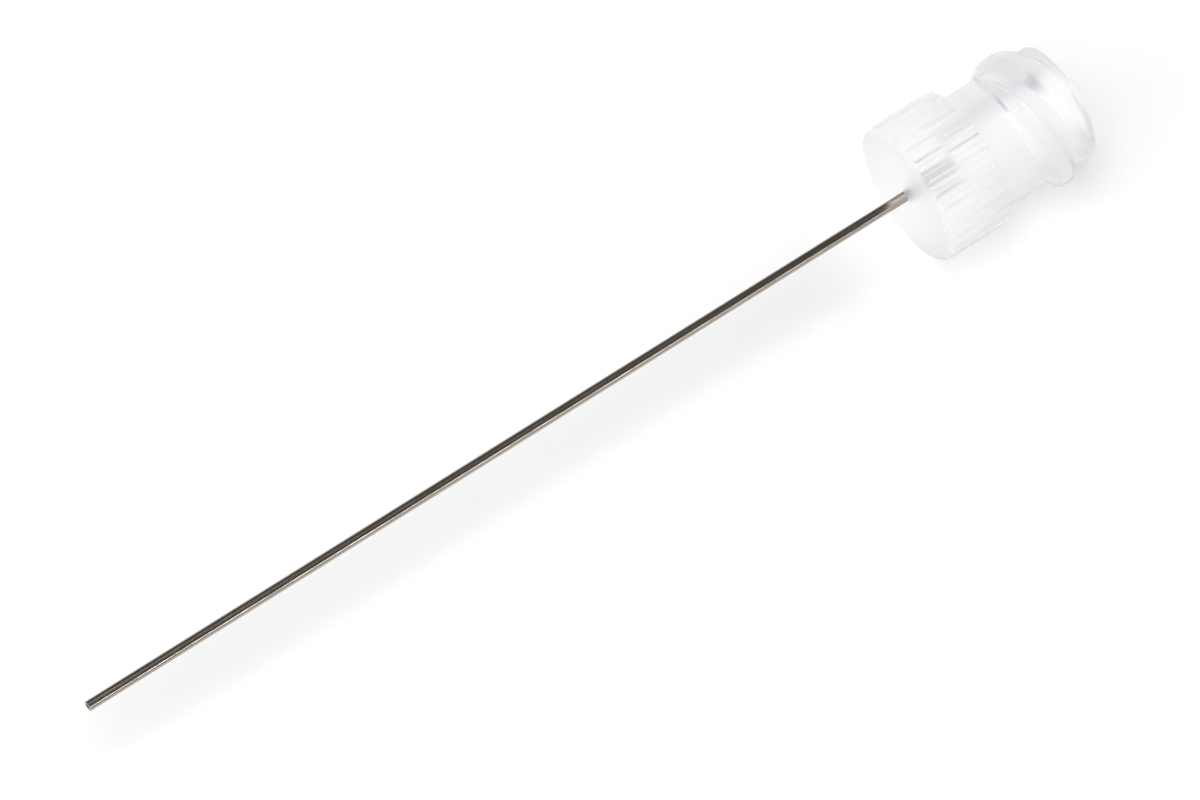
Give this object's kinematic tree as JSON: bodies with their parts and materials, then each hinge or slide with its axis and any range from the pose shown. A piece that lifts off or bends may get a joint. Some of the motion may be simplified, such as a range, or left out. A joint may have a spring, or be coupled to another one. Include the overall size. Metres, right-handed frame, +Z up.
{
  "type": "dispensing needle tip",
  "caption": "Straight blunt steel cannula in a translucent moulded hub, with a fluted grip collar, a tapered socket and an outside lock thread, for dispensing or transferring fluid.",
  "frame": {"origin": "on the floor under the middle of the needle's length: the needle lies on its collar with its axis level", "axes": "+X along the needle's axis from the blunt end to the socket mouth, +Z up"},
  "size_m": [0.061, 0.008, 0.0079],
  "materials": {
    "hub_plastic": "satin",
    "cannula_steel": "satin"
  },
  "bodies": {
    "root": {"hub": "hub_plastic", "cannula": "cannula_steel"}
  },
  "joints": []
}
